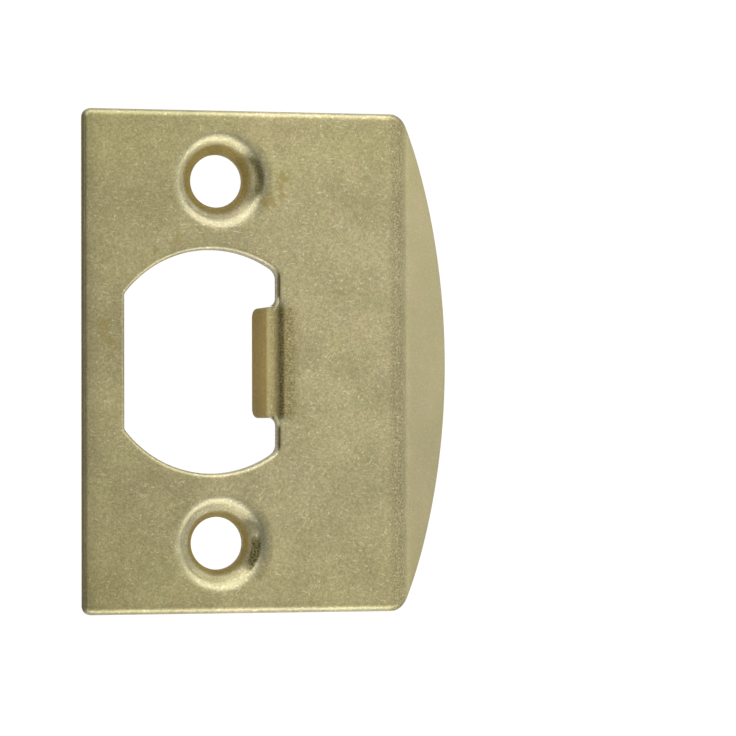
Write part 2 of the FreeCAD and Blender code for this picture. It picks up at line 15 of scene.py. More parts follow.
import bmesh
import bpy
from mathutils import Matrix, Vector


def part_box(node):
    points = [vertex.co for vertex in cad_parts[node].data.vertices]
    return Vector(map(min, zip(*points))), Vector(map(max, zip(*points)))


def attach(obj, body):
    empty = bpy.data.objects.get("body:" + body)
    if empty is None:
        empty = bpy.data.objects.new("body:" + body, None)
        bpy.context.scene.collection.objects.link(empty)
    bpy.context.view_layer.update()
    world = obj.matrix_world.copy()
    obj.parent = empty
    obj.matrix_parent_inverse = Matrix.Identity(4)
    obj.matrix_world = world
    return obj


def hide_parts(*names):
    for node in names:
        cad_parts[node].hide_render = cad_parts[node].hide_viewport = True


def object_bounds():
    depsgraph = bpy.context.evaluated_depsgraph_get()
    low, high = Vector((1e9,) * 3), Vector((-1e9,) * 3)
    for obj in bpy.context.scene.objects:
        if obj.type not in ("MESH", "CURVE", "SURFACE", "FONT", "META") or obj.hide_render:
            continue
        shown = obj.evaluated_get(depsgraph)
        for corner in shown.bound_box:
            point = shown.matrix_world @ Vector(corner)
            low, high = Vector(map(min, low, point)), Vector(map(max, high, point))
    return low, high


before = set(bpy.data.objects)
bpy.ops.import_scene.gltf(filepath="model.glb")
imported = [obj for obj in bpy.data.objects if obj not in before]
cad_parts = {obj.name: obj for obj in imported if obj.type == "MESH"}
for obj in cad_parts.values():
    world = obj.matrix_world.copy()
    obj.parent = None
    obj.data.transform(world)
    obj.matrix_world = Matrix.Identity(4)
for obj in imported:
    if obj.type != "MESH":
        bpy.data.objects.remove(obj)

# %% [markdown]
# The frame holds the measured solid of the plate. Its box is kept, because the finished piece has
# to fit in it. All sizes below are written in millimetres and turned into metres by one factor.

MM = 0.001
MEASURED_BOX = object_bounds()
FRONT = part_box("strike_plate")[1].z
face_z = FRONT / MM
print("front face at z = %.2f mm" % face_z)

# %% [markdown]
# ## Tools for selecting
#
# A person at the screen clicks on what the next tool should work on. A script has to say it in
# another way: by place, by direction or by material. These few helpers open one object in edit mode
# and select the faces or edges that pass a test.

# %% Tools for selecting
def nothing_selected():
    """Leave edit mode if need be, and deselect every object."""
    if bpy.context.object and bpy.context.object.mode == "EDIT":
        bpy.ops.object.mode_set(mode="OBJECT")
    bpy.ops.object.select_all(action="DESELECT")


def edit_only(piece):
    """Open one object, and no other, in edit mode with nothing selected."""
    nothing_selected()
    piece.select_set(True)
    bpy.context.view_layer.objects.active = piece
    bpy.ops.object.mode_set(mode="EDIT")
    bpy.ops.mesh.select_all(action="DESELECT")


def edit_mesh():
    """The mesh of the object in edit mode."""
    return bmesh.from_edit_mesh(bpy.context.object.data)


def select_where(kind, test):
    """Select the faces or the edges that pass a test, and count them."""
    bpy.ops.mesh.select_all(action="DESELECT")
    bpy.ops.mesh.select_mode(type=kind)
    mesh = edit_mesh()
    items = mesh.faces if kind == "FACE" else mesh.edges
    for item in items:
        item.select = test(item)
    mesh.select_flush_mode()
    bmesh.update_edit_mesh(bpy.context.object.data)
    return sum(item.select for item in items)


# %% [markdown]
# ## A pen made of two tools
#
# An outline can be drawn with a curve object, or point by point. Here it is drawn as by hand in
# edit mode: one vertex is extruded to make a straight line, and spun round a centre to make an arc.
# That gives exact arcs, and the length of a step decides how smooth they are.

# %% The pen
def pen_place():
    """Where the pen is: the place of the selected vertex, in millimetres."""
    return next(vertex.co / MM for vertex in edit_mesh().verts if vertex.select)


def pen_down(x, y):
    """One new vertex: a tiny plane merged to its middle."""
    bpy.ops.mesh.select_all(action="DESELECT")
    bpy.ops.mesh.primitive_plane_add(size=MM, location=(x * MM, y * MM, FRONT))
    bpy.ops.mesh.merge(type="CENTER")


def line_to(x, y):
    """Extrude the pen's vertex to a place."""
    here = pen_place()
    move = ((x - here.x) * MM, (y - here.y) * MM, 0)
    bpy.ops.mesh.extrude_region_move(TRANSFORM_OT_translate={"value": move})


def arc_round(x, y, degrees, step=0.5):
    """Spin the pen's vertex round a centre. Steps are about as long as asked, in millimetres."""
    here = pen_place()
    radius = math.hypot(here.x - x, here.y - y)
    bpy.ops.mesh.spin(
        steps=max(4, round(abs(math.radians(degrees)) * radius / step)),
        angle=math.radians(degrees), center=(x * MM, y * MM, FRONT), axis=(0, 0, -1),
    )


def close_outline(weld=0.002):
    """Weld the last vertex to the first."""
    bpy.ops.mesh.select_all(action="SELECT")
    bpy.ops.mesh.remove_doubles(threshold=weld * MM)


# %% [markdown]
# ## The sizes of the blank
#
# The blank is the flat sheet before any fold. Its outline has two small corners on the left, and on
# the right the long arc that becomes the edge of the lip. The lip is bent, so the blank is longer
# than the finished plate: a bend of radius R through an angle a takes up R times a of sheet. The
# rounded edge sets the tip back a little as well, which is why its radius is needed here.

# %% The sizes of the blank
SHEET = 1.5
HALF_HEIGHT = 28.575
LEFT_EDGE = -15.875
LEFT_CORNER = 1.0

FOLD_LINE = 19.5
LIP_BEND = 4.0
LIP_ANGLE = math.radians(40)
LIP_REACH = 28.575
LIP_ARC = 50.0
LIP_CORNER = 3.0
LIP_ROUND = 0.50

sharp_tip = LIP_REACH + LIP_ROUND * (math.sin(LIP_ANGLE) + math.cos(LIP_ANGLE) - 1)
bend_end = FOLD_LINE + LIP_BEND * math.sin(LIP_ANGLE)
flat_tip = FOLD_LINE + LIP_BEND * LIP_ANGLE + (sharp_tip - bend_end) / math.cos(LIP_ANGLE)
arc_x = flat_tip - LIP_ARC
corner_y = HALF_HEIGHT - LIP_CORNER
corner_x = arc_x + math.sqrt((LIP_ARC - LIP_CORNER) ** 2 - corner_y**2)
lip_turn = math.degrees(math.atan2(corner_y, corner_x - arc_x))
print("the blank is %.2f mm wide when flat" % (flat_tip - LEFT_EDGE))

# %% [markdown]
# The outline is drawn anticlockwise from the lower left corner. The plane that starts the object is
# emptied first, so that the pen draws in a mesh of its own.

# %% Draw the outline of the blank
nothing_selected()
bpy.ops.mesh.primitive_plane_add(size=MM, location=(0, 0, FRONT))
plate = bpy.context.object
plate.name = "strike_plate_sheet"
bpy.ops.object.transform_apply(location=True)
edit_only(plate)
bpy.ops.mesh.select_all(action="SELECT")
bpy.ops.mesh.delete(type="VERT")

left_x = LEFT_EDGE + LEFT_CORNER
left_y = HALF_HEIGHT - LEFT_CORNER
pen_down(left_x, -HALF_HEIGHT)
line_to(corner_x, -HALF_HEIGHT)
arc_round(corner_x, -corner_y, 90 - lip_turn, step=0.3)
arc_round(arc_x, 0, 2 * lip_turn)
arc_round(corner_x, corner_y, 90 - lip_turn, step=0.3)
line_to(left_x, HALF_HEIGHT)
arc_round(left_x, left_y, 90, step=0.2)
line_to(LEFT_EDGE, -left_y)
arc_round(left_x, -left_y, 90, step=0.2)
close_outline()
print("blank drawn with %d points" % len(edit_mesh().verts))

# %% [markdown]
# ## The opening and the tang
#
# The opening is a round hole with a flat on each side. From its right flat a tang reaches inwards,
# and will be folded to the back. Where the tang leaves the flat, the punch leaves a small round
# inner corner, which keeps the brass from tearing there. The corners on the left are tight and
# those on the right are soft, and each is tangent to its flat and to the round hole.

# %% The sizes of the opening and the tang
OPENING_X = -0.95
OPENING_RADIUS = 12.7
LEFT_FLAT = -11.1
RIGHT_FLAT = 6.67
TIGHT_CORNER = 0.4
SOFT_CORNER = 1.5

TANG_LINE = 8.0
TANG_BEND = 2.2
TANG_HALF = 6.35
TANG_DROP = 9.0
TANG_CORNER = 1.2
TANG_ROOT = 1.0

tang_arc = TANG_BEND * math.pi / 2
tang_tip = TANG_LINE - tang_arc - (TANG_DROP - TANG_BEND)
soft_x = RIGHT_FLAT - SOFT_CORNER
soft_y = math.sqrt((OPENING_RADIUS - SOFT_CORNER) ** 2 - (soft_x - OPENING_X) ** 2)
soft_turn = math.degrees(math.atan2(soft_y, soft_x - OPENING_X))
tight_x = LEFT_FLAT + TIGHT_CORNER
tight_y = math.sqrt((OPENING_RADIUS - TIGHT_CORNER) ** 2 - (tight_x - OPENING_X) ** 2)
tight_turn = math.degrees(math.atan2(tight_y, OPENING_X - tight_x))
round_turn = 180 - soft_turn - tight_turn
print("the tang is %.2f mm long when flat" % (TANG_LINE - tang_tip))

# %% [markdown]
# The pen starts at the upper side of the tang and goes all round the opening, so the tang is part
# of the outline from the start, as it is under the punch.

# %% Draw the opening with its tang
root_x = RIGHT_FLAT - TANG_ROOT
root_y = TANG_HALF + TANG_ROOT
tip_x = tang_tip + TANG_CORNER
tip_y = TANG_HALF - TANG_CORNER

pen_down(tip_x, TANG_HALF)
line_to(root_x, TANG_HALF)
arc_round(root_x, root_y, 90, step=0.15)
line_to(RIGHT_FLAT, soft_y)
arc_round(soft_x, soft_y, soft_turn, step=0.25)
arc_round(OPENING_X, 0, round_turn, step=0.4)
arc_round(tight_x, tight_y, tight_turn, step=0.08)
line_to(LEFT_FLAT, -tight_y)
arc_round(tight_x, -tight_y, tight_turn, step=0.08)
arc_round(OPENING_X, 0, round_turn, step=0.4)
arc_round(soft_x, -soft_y, soft_turn, step=0.25)
line_to(RIGHT_FLAT, -root_y)
arc_round(root_x, -root_y, 90, step=0.15)
line_to(tip_x, -TANG_HALF)
arc_round(tip_x, -tip_y, -90, step=0.2)
line_to(tang_tip, tip_y)
arc_round(tip_x, tip_y, -90, step=0.2)
close_outline()
print("both outlines have %d points" % len(edit_mesh().verts))

# %% [markdown]
# ## The holes, and the face between
#
# The two dimples are pressed later. For now each is a plain round hole as large as the dimple's
# soft rim, which is worked out from the section: the cone of the countersink opens from the throat
# to its mouth, and the rim's round runs from there to the flat face. Fill then lays triangles
# between all the outlines.

# %% Fill the face
SCREW_Y = 20.6375
SINK_SLOPE = math.radians(41)
SINK_DEPTH = 2.25
THROAT = 3.0
RIM_ROUND = 2.0
RING_POINTS = 96

cone_mouth = THROAT + SINK_DEPTH * math.tan(SINK_SLOPE)
rim_turn = math.pi / 2 - SINK_SLOPE
rim_edge = cone_mouth + RIM_ROUND * math.tan(rim_turn / 2)

for side in (1, -1):
    bpy.ops.mesh.primitive_circle_add(
        vertices=RING_POINTS, radius=rim_edge * MM, location=(0, side * SCREW_Y * MM, FRONT)
    )
bpy.ops.mesh.select_all(action="SELECT")
bpy.ops.mesh.fill(use_beauty=True)
bpy.ops.mesh.select_all(action="SELECT")
if edit_mesh().faces[:][0].normal.z < 0:
    bpy.ops.mesh.flip_normals()
print("face filled: %d triangles" % len(edit_mesh().faces))

# %% [markdown]
# A narrow inset runs a band of even four-sided faces round every edge, which the later rounding of
# the edges needs. Squeezing the triangles inside the band can fold thin ones over, so the inside is
# emptied and filled once more. A seam marks its outline while it is empty.

# %% Run a band round every edge
BAND_WIDTH = 0.95

bpy.ops.mesh.inset(thickness=BAND_WIDTH * MM, depth=0, use_boundary=True, use_even_offset=True)
inside = select_where("FACE", lambda face: len(face.verts) == 3)
bpy.ops.mesh.region_to_loop()
bpy.ops.mesh.mark_seam()
select_where("FACE", lambda face: len(face.verts) == 3)
bpy.ops.mesh.delete(type="FACE")
select_where("EDGE", lambda edge: edge.seam)
bpy.ops.mesh.fill(use_beauty=True)
bpy.ops.mesh.mark_seam(clear=True)
print("%d triangles inside the band, of %d faces" % (inside, len(edit_mesh().faces)))

# %% [markdown]
# ## The thickness
#
# The flat face is extruded one sheet deep. This is done before the folds, so that the sheared
# walls stand square to the sheet everywhere, also round the bends. The pressed face, the sheared
# walls and the back each get a material slot of their own, told apart by which way they face.

# %% Give the sheet its thickness
FACE, WALL, BACK = range(3)
LEVEL = 0.5
for name in ("tumbled_brass", "sheared_brass", "mill_brass"):
    plate.data.materials.append(bpy.data.materials.new(name))


def paint(index, test):
    """Give the faces that pass a test one of the sheet's three materials."""
    found = select_where("FACE", test)
    plate.active_material_index = index
    bpy.ops.object.material_slot_assign()
    return found


bpy.ops.mesh.select_all(action="SELECT")
bpy.ops.mesh.extrude_region_move(TRANSFORM_OT_translate={"value": (0, 0, -SHEET * MM)})
bpy.ops.mesh.select_all(action="SELECT")
bpy.ops.mesh.normals_make_consistent(inside=False)
walls = paint(WALL, lambda face: abs(face.normal.z) < LEVEL)
backs = paint(BACK, lambda face: face.normal.z < -LEVEL)
print("sheet thickened: %d wall faces, %d back faces" % (walls, backs))

# %% [markdown]
# ## The section of a dimple
#
# A screw hole is pressed down so that the screw's head sits flush. Seen in section, the front runs
# over a soft rim into the cone of the countersink and ends in the round throat. The back follows
# one sheet lower and ends in a flat ring. The section is a list of points, each a distance from
# the hole's axis and a height above the face.

# %% Work out the section
ROOT_ROUND = 0.5
THROAT_LAND = 0.5
RIM_STEPS = 10
ROOT_STEPS = 6
# The small corners, each point as a step outwards and a step up.
THROAT_MOUTH = ((0.10, 0.115), (0.03, 0.01), (0.0, -0.08))
THROAT_FOOT = ((0.0, 0.08), (0.03, 0.01), (0.10, 0.0))
BOSS_CORNER = ((-0.05, 0.0), (0.02, 0.05))


def arc_section(centre, radius, first, last, steps):
    """Points of an arc in section, angles in degrees."""
    turns = [math.radians(first + (last - first) * n / steps) for n in range(steps + 1)]
    return [(centre[0] + radius * math.cos(a), centre[1] + radius * math.sin(a)) for a in turns]


slope = math.degrees(rim_turn)
foot_depth = SINK_DEPTH + THROAT_LAND
boss_foot = cone_mouth + SHEET * (1 - math.sin(SINK_SLOPE)) / math.cos(SINK_SLOPE)
boss_foot -= (foot_depth - SHEET) * math.tan(SINK_SLOPE)
section = arc_section((rim_edge, -RIM_ROUND), RIM_ROUND, 90, 90 + slope, RIM_STEPS)[1:]
section += [(THROAT + out, up - SINK_DEPTH) for out, up in THROAT_MOUTH]
section += [(THROAT + out, up - foot_depth) for out, up in THROAT_FOOT]
section += [(boss_foot + out, up - foot_depth) for out, up in BOSS_CORNER]
section += arc_section(
    (rim_edge, -SHEET - ROOT_ROUND), ROOT_ROUND, 90 + slope, 90, ROOT_STEPS
)[:-1]
section = [(rim_edge, 0)] + section + [(rim_edge, -SHEET)]
print("the section has %d points and is %.2f mm deep" % (len(section), foot_depth))

# %% [markdown]
# ## Pressing the dimples
#
# A ring of the section could be modelled apart and joined on. Here the sheet itself is drawn down:
# the punched wall is taken away, and the front circle is extruded and drawn in, ring by ring, down
# the front and up the back, until it meets the back circle and is welded to it.

# %% Press the two dimples
def draw_ring(side, here, there):
    """Extrude the selected ring from one point of the section to the next."""
    bpy.ops.mesh.extrude_edges_move(
        TRANSFORM_OT_translate={"value": (0, 0, (there[1] - here[1]) * MM)}
    )
    share = there[0] / here[0]
    bpy.ops.transform.resize(
        value=(share, share, 1), center_override=(0, side * SCREW_Y * MM, 0)
    )


def from_axis(place, side):
    """The distance of a place from the axis of one screw hole, in millimetres."""
    return math.hypot(place.x / MM, place.y / MM - side * SCREW_Y)


def is_punched_wall(edge, side):
    """Whether an edge runs down the wall of the plain hole."""
    one, other = (vertex.co for vertex in edge.verts)
    return abs(one.z - other.z) > 0.9 * SHEET * MM and from_axis(one, side) < rim_edge + 0.1


def is_front_ring(edge, side):
    """Whether an edge lies on the front circle of the plain hole."""
    return all(
        abs(from_axis(vertex.co, side) - rim_edge) < 0.05 and abs(vertex.co.z / MM - face_z) < 0.01
        for vertex in edge.verts
    )


edit_only(plate)
for side in (1, -1):
    select_where("EDGE", lambda edge: is_punched_wall(edge, side))
    bpy.ops.mesh.delete(type="EDGE")
    select_where("EDGE", lambda edge: is_front_ring(edge, side))
    for here, there in zip(section, section[1:]):
        draw_ring(side, here, there)
bpy.ops.mesh.select_all(action="SELECT")
bpy.ops.mesh.remove_doubles(threshold=0.01 * MM)
print("dimples pressed: %d open edges" % sum(edge.is_boundary for edge in edit_mesh().edges))

# %% [markdown]
# The new faces take the material of the front, so the throat is given back to the sheared walls and
# the boss below it to the back of the sheet.

# %% Give the throat and the boss their materials
def in_dimple(face):
    """How far the middle of a face is from its screw hole's axis, or None outside a dimple."""
    middle = face.calc_center_median() / MM
    away = math.hypot(middle.x, abs(middle.y) - SCREW_Y)
    return away if away < rim_edge - 0.02 and middle.z < face_z else None


def is_throat(face):
    away = in_dimple(face)
    return away is not None and away < THROAT + 0.02


def is_boss(face):
    return in_dimple(face) is not None and face.normal.z < -0.2


throats = paint(WALL, is_throat)
bosses = paint(BACK, is_boss)
print("%d throat faces and %d boss faces" % (throats, bosses))

# %% [markdown]
# ## The soft edges
#
# The punch drags the brass down at every edge, and tumbling rounds it further. How far differs by
# place: the most along the top and the bottom, less at the lip and in the opening, and the least at
# the left, with the corners running from one to the other. The back edges only lose their burr. In
# the photograph this rounding is the thin bright line along the outline.
#
# The bevel tool in edit mode has one width for all. The bevel modifier can follow a weight on each
# edge instead, so the radius of each place is written into the weights.

# %% How far each place is rounded
TOP_ROUND = 0.80
BOTTOM_ROUND = 0.90
LEFT_ROUND = 0.25
OPENING_ROUND = 0.55
BACK_ROUND = 0.15
NEAR_OPENING = 1.0


def front_round(x, y):
    """How far the front edge is rounded over at a place on the outline, in millimetres."""
    if math.hypot(x - OPENING_X, y) < OPENING_RADIUS + NEAR_OPENING:
        return OPENING_ROUND
    side = LEFT_ROUND if x < 0 else LIP_ROUND
    reach = LEFT_CORNER if x < 0 else LIP_CORNER
    share = max(0, 1 - (HALF_HEIGHT - abs(y)) / reach)
    return side + ((TOP_ROUND if y > 0 else BOTTOM_ROUND) - side) * share


def back_round(x, y):
    """The back edges lose the same burr everywhere."""
    return BACK_ROUND


print("the front edge is rounded by %.2f mm at the top" % front_round(0, HALF_HEIGHT))

# %% Round the edges
def material_edges(one, other):
    """The edges between two of the sheet's materials outside the dimples, with their middles."""
    between = {}
    for polygon in plate.data.polygons:
        for key in polygon.edge_keys:
            between.setdefault(key, set()).add(polygon.material_index)
    for edge in plate.data.edges:
        ends = [plate.data.vertices[n].co / MM for n in edge.vertices]
        middle = (ends[0] + ends[1]) / 2
        in_hole = math.hypot(middle.x, abs(middle.y) - SCREW_Y) < rim_edge
        if between[edge.key] == {one, other} and not in_hole:
            yield edge, middle


def round_edges(one, other, radius_at, segments, material):
    """Bevel the edges between two of the sheet's materials, each by its own radius."""
    nothing_selected()
    weights = plate.data.attributes.new("bevel_weight_edge", "FLOAT", "EDGE")
    found = 0
    for edge, middle in material_edges(one, other):
        weights.data[edge.index].value = radius_at(middle.x, middle.y)
        found += 1
    bpy.context.view_layer.objects.active = plate
    bevel = plate.modifiers.new("round", "BEVEL")
    bevel.limit_method = "WEIGHT"
    bevel.offset_type = "OFFSET"
    bevel.width = MM
    bevel.segments = segments
    bevel.use_clamp_overlap = False
    bevel.material = material
    bpy.ops.object.modifier_apply(modifier=bevel.name)
    plate.data.attributes.remove(plate.data.attributes["bevel_weight_edge"])
    return found


print("front edges rounded: %d" % round_edges(FACE, WALL, front_round, 6, FACE))
print("back edges rounded: %d" % round_edges(WALL, BACK, back_round, 2, WALL))

# %% [markdown]
# ## Tools for folding
#
# A press brake bends a sheet along a line. Simple Deform does the same: everything between its two
# limits is rolled round an arc, and everything beyond goes straight on. An empty gives the line. It
# sits in the front face, so the front keeps its length, and the back takes the tighter arc inside.
# The modifier can only bend where there are vertices, so bisect first cuts the strip into rows.

# %% Tools for cutting and folding
def cut(test, place, normal):
    """Bisect the faces that pass a test by a plane."""
    select_where("FACE", test)
    bpy.ops.mesh.bisect(plane_co=[c * MM for c in place], plane_no=normal)


def fold(line, way, angle, radius, group=""):
    """Bend the sheet to the back beyond a line along Y. The way is 1 to +X and -1 to -X."""
    nothing_selected()
    bpy.ops.object.empty_add(
        location=(line * MM, 0, FRONT), rotation=(-math.pi / 2, 0, 0 if way > 0 else math.pi)
    )
    hinge = bpy.context.object
    plate.select_set(True)
    bpy.context.view_layer.objects.active = plate
    along = [way * (vertex.co.x / MM - line) for vertex in plate.data.vertices]
    first, last = min(along), max(along)
    bend = plate.modifiers.new("fold", "SIMPLE_DEFORM")
    bend.deform_method = "BEND"
    bend.deform_axis = "Z"
    bend.origin = hinge
    bend.angle = angle
    bend.limits = (-first / (last - first), (radius * angle - first) / (last - first))
    bend.vertex_group = group
    bpy.ops.object.modifier_apply(modifier=bend.name)
    nothing_selected()
    hinge.select_set(True)
    bpy.ops.object.delete()


def depth_reached():
    """How far the lowest point lies below the front face, in millimetres."""
    return (FRONT - min(vertex.co.z for vertex in plate.data.vertices)) / MM


print("the sheet reaches %.2f mm down before the folds" % depth_reached())

# %% [markdown]
# ## The fold of the lip
#
# The lip is bent by forty degrees round a gentle radius, so that the latch bolt slides up on it.
# Its outline is already cut, and with the bend its curved edge swings down and back in space, as
# on the real plate.

# %% Fold the lip
LIP_ROWS = 14

edit_only(plate)
for n in range(LIP_ROWS + 1):
    row_x = FOLD_LINE + LIP_BEND * LIP_ANGLE * n / LIP_ROWS
    cut(lambda face: True, (row_x, 0, 0), (1, 0, 0))
fold(FOLD_LINE, 1, LIP_ANGLE, LIP_BEND)
print("lip folded: its back edge lies %.2f mm below the face" % depth_reached())

# %% [markdown]
# ## The fold of the tang
#
# The tang is bent square to the back, tighter than the lip. The brass beside it isn't cut free, so
# it is drawn down with the bend and runs out in a short shoulder. First the whole zone is cut into
# rows both ways: across the bend, and across the shoulders on either side of the tang.

# %% Cut the tang's zone into rows
TANG_ROWS = 18
SHOULDER_CUTS = 8
LEFT_OF_TANG = -5.0
NO_BEND_Y = 7.5
FULL_BEND_Y = TANG_HALF + 0.01
BACK_STEP = 0.03
HAIR = 0.001


def in_tang_zone(face):
    places = [vertex.co / MM for vertex in face.verts]
    return all(
        LEFT_OF_TANG < p.x < TANG_LINE + HAIR and abs(p.y) < NO_BEND_Y + HAIR for p in places
    )


def in_tang_rows(face):
    return all(abs(vertex.co.y / MM) < NO_BEND_Y + HAIR for vertex in face.verts)


edit_only(plate)
for side in (1, -1):
    cut(lambda face: True, (0, side * NO_BEND_Y, 0), (0, 1, 0))
cut(in_tang_rows, (TANG_LINE, 0, 0), (1, 0, 0))
shoulder = NO_BEND_Y - FULL_BEND_Y
levels = [TANG_HALF + BACK_STEP]
levels += [FULL_BEND_Y + shoulder * n / SHOULDER_CUTS for n in range(SHOULDER_CUTS)]
for level in levels:
    for side in (1, -1):
        cut(in_tang_zone, (0, side * level, 0), (0, 1, 0))
for n in range(1, TANG_ROWS + 1):
    cut(in_tang_zone, (TANG_LINE - tang_arc * n / TANG_ROWS, 0, 0), (1, 0, 0))
print("the sheet has %d faces after the cuts" % len(edit_mesh().faces))

# %% [markdown]
# A vertex group says how much of the bend each place takes: all of it on the tang, less along the
# shoulder, and none beyond. The back of the shoulder stays where it is, so its weight falls to
# nothing within a narrow step beside the tang.

# %% Fold the tang and draw down its shoulders
def bend_share(y):
    """How much of the bend the front takes at a height."""
    t = min(1, max(0, (NO_BEND_Y - abs(y)) / shoulder))
    return t * t * (3 - 2 * t)


nothing_selected()
drawn = plate.vertex_groups.new(name="drawn_with_tang")
for vertex in plate.data.vertices:
    place = vertex.co / MM
    if LEFT_OF_TANG < place.x < TANG_LINE and abs(place.y) < NO_BEND_Y:
        below = min(1, (face_z - place.z) / SHEET)
        past_tang = min(1, max(0, (abs(place.y) - TANG_HALF) / BACK_STEP))
        drawn.add([vertex.index], bend_share(place.y) * (1 - below * past_tang), "REPLACE")
fold(TANG_LINE, -1, math.pi / 2, TANG_BEND, drawn.name)
print("tang folded: its tip lies %.2f mm below the face" % depth_reached())

# %% [markdown]
# ## Smooth shading
#
# The sheared walls meet the back at a real edge, so only faces that meet at less than thirty
# degrees are shaded as one. Weighted normals keep the large faces flat up to their rounded edges.

# %% Shade the plate
SHARP_ANGLE = math.radians(30)

nothing_selected()
plate.select_set(True)
bpy.context.view_layer.objects.active = plate
bpy.ops.object.shade_smooth_by_angle(angle=SHARP_ANGLE)
weigh = plate.modifiers.new("weighted", "WEIGHTED_NORMAL")
weigh.keep_sharp = True
bpy.ops.object.modifier_apply(modifier=weigh.name)

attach(plate, "root")
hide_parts("strike_plate")
print("plate shaded: %d faces" % len(plate.data.polygons))

# %% [markdown]
# ## A workbench for materials
#
# Every pattern is made in the plate's own coordinates, turned into millimetres, so that a finish
# can say where on the plate something happens. A few short helpers add a node, set its sockets and
# link it, so that each finish below can be read as a recipe.

# %% The workbench
class Workbench:
    """The node tree of one material, with short names for building it."""

    def __init__(self, material):
        material.use_nodes = True
        self.tree = material.node_tree
        self.tree.nodes.clear()
        out = self.add("ShaderNodeOutputMaterial")
        self.shader = self.add("ShaderNodeBsdfPrincipled")
        self.link(self.shader.outputs["BSDF"], out.inputs["Surface"])
        place = self.add("ShaderNodeTexCoord").outputs["Object"]
        scaled = self.add("ShaderNodeVectorMath", operation="SCALE")
        self.link(place, scaled.inputs[0])
        scaled.inputs["Scale"].default_value = 1 / MM
        self.place = scaled.outputs["Vector"]
        split = self.add("ShaderNodeSeparateXYZ")
        self.link(self.place, split.inputs[0])
        self.x, self.y, self.z = split.outputs

    def add(self, kind, **settings):
        """Add a node and set its properties."""
        node = self.tree.nodes.new(kind)
        for name, value in settings.items():
            setattr(node, name, value)
        return node

    def link(self, source, target):
        """Link an output to an input."""
        self.tree.links.new(source, target)

    def feed(self, socket, value):
        """Link an output to a socket, or set the socket to a plain value."""
        if hasattr(value, "is_output"):
            self.link(value, socket)
        else:
            socket.default_value = value

    def give(self, **values):
        """Feed the shader's own sockets, named with _ for a space."""
        for name, value in values.items():
            self.feed(self.shader.inputs[name.replace("_", " ")], value)

    def math(self, operation, *values):
        """One step of arithmetic."""
        node = self.add("ShaderNodeMath", operation=operation)
        for socket, value in zip(node.inputs, values):
            self.feed(socket, value)
        return node.outputs[0]

    def product(self, first, *others):
        """Multiply fields."""
        for other in others:
            first = self.math("MULTIPLY", first, other)
        return first


print("workbench ready")

# %% [markdown]
# A finish needs four kinds of ingredient: fields that say where, such as a smooth step or a band;
# noise for what is uneven; distances from an axis, for what goes round a hole; and ways to blend,
# shade and tint a colour by any of these. In every ramp the first two numbers say where the step
# starts and ends, in millimetres if it runs over a place, and the last two what it gives there.

# %% The recipe for a finish
class Recipe(Workbench):
    """A workbench with the ingredients of a finish."""

    def ramp(self, value, low, high, to_low=0.0, to_high=1.0):
        """A smooth step: what is given up to low, and what is given from high on."""
        node = self.add("ShaderNodeMapRange", interpolation_type="SMOOTHSTEP")
        if low > high:
            low, high, to_low, to_high = high, low, to_high, to_low
        for name, given in zip(
            ("Value", "From Min", "From Max", "To Min", "To Max"),
            (value, low, high, to_low, to_high),
        ):
            self.feed(node.inputs[name], given)
        return node.outputs["Result"]

    def band(self, value, low, high, soft):
        """One between low and high, and zero outside."""
        up = self.ramp(value, low - soft, low + soft)
        return self.product(up, self.ramp(value, high - soft, high + soft, 1.0, 0.0))

    def noise(self, scale, detail=2.0, stretch=(1, 1, 1), turned=0.0, seed=0.0):
        """Noise with so many features to the millimetre, around 0.5."""
        mapping = self.add("ShaderNodeMapping")
        self.link(self.place, mapping.inputs["Vector"])
        mapping.inputs["Rotation"].default_value = (0, 0, math.radians(turned))
        stretched = self.add("ShaderNodeVectorMath", operation="MULTIPLY_ADD")
        self.link(mapping.outputs[0], stretched.inputs[0])
        stretched.inputs[1].default_value = stretch
        stretched.inputs[2].default_value = (seed, 2 * seed, 3 * seed)
        node = self.add("ShaderNodeTexNoise")
        self.link(stretched.outputs[0], node.inputs["Vector"])
        node.inputs["Scale"].default_value = scale
        node.inputs["Detail"].default_value = detail
        node.inputs["Roughness"].default_value = 0.6
        return node.outputs["Fac"]

    def away_from(self, x, y):
        """The distance from an axis through the face."""
        across = self.math("SUBTRACT", self.x, x)
        up = self.math("SUBTRACT", self.y, y)
        squares = self.math("ADD", self.math("POWER", across, 2.0), self.math("POWER", up, 2.0))
        return self.math("SQRT", squares)

    def mix(self, factor, one, other, way="MIX"):
        """Blend two colours."""
        node = self.add("ShaderNodeMix", data_type="RGBA", blend_type=way)
        self.feed(node.inputs["Factor"], factor)
        self.feed(node.inputs["A"], one)
        self.feed(node.inputs["B"], other)
        return node.outputs["Result"]

    def tint(self, factor, colour, by):
        """Multiply a colour by another one, by a factor."""
        return self.mix(factor, colour, by, "MULTIPLY")

    def shade(self, colour, field):
        """Multiply a colour by a field of greys."""
        node = self.add("ShaderNodeVectorMath", operation="SCALE")
        self.feed(node.inputs[0], colour)
        self.feed(node.inputs["Scale"], field)
        return node.outputs[0]

    def darken(self, colour, field):
        """Take a share of a colour away."""
        return self.shade(colour, self.math("SUBTRACT", 1.0, field))


print("recipe ready")

# %% [markdown]
# ## The brass and its mottle
#
# The plate was tumbled, so its face is satin, not polished, and finely mottled. The colour isn't
# even either: it drifts between a greener and a warmer brass. The lip is calmer, because the press
# drew it over a die, and it is painted darker, most towards the bottom, as painted shade. A
# photograph laid on the face would show all that at once, but only from one side and with its
# light baked in, so the finish is built up from noise in layers.

# %% The brass and its mottle
BRASS_GREEN = (0.412, 0.371, 0.197, 1)
BRASS_WARM = (0.438, 0.380, 0.212, 1)
LIP_STARTS, LIP_ALL = 21.0, 23.5

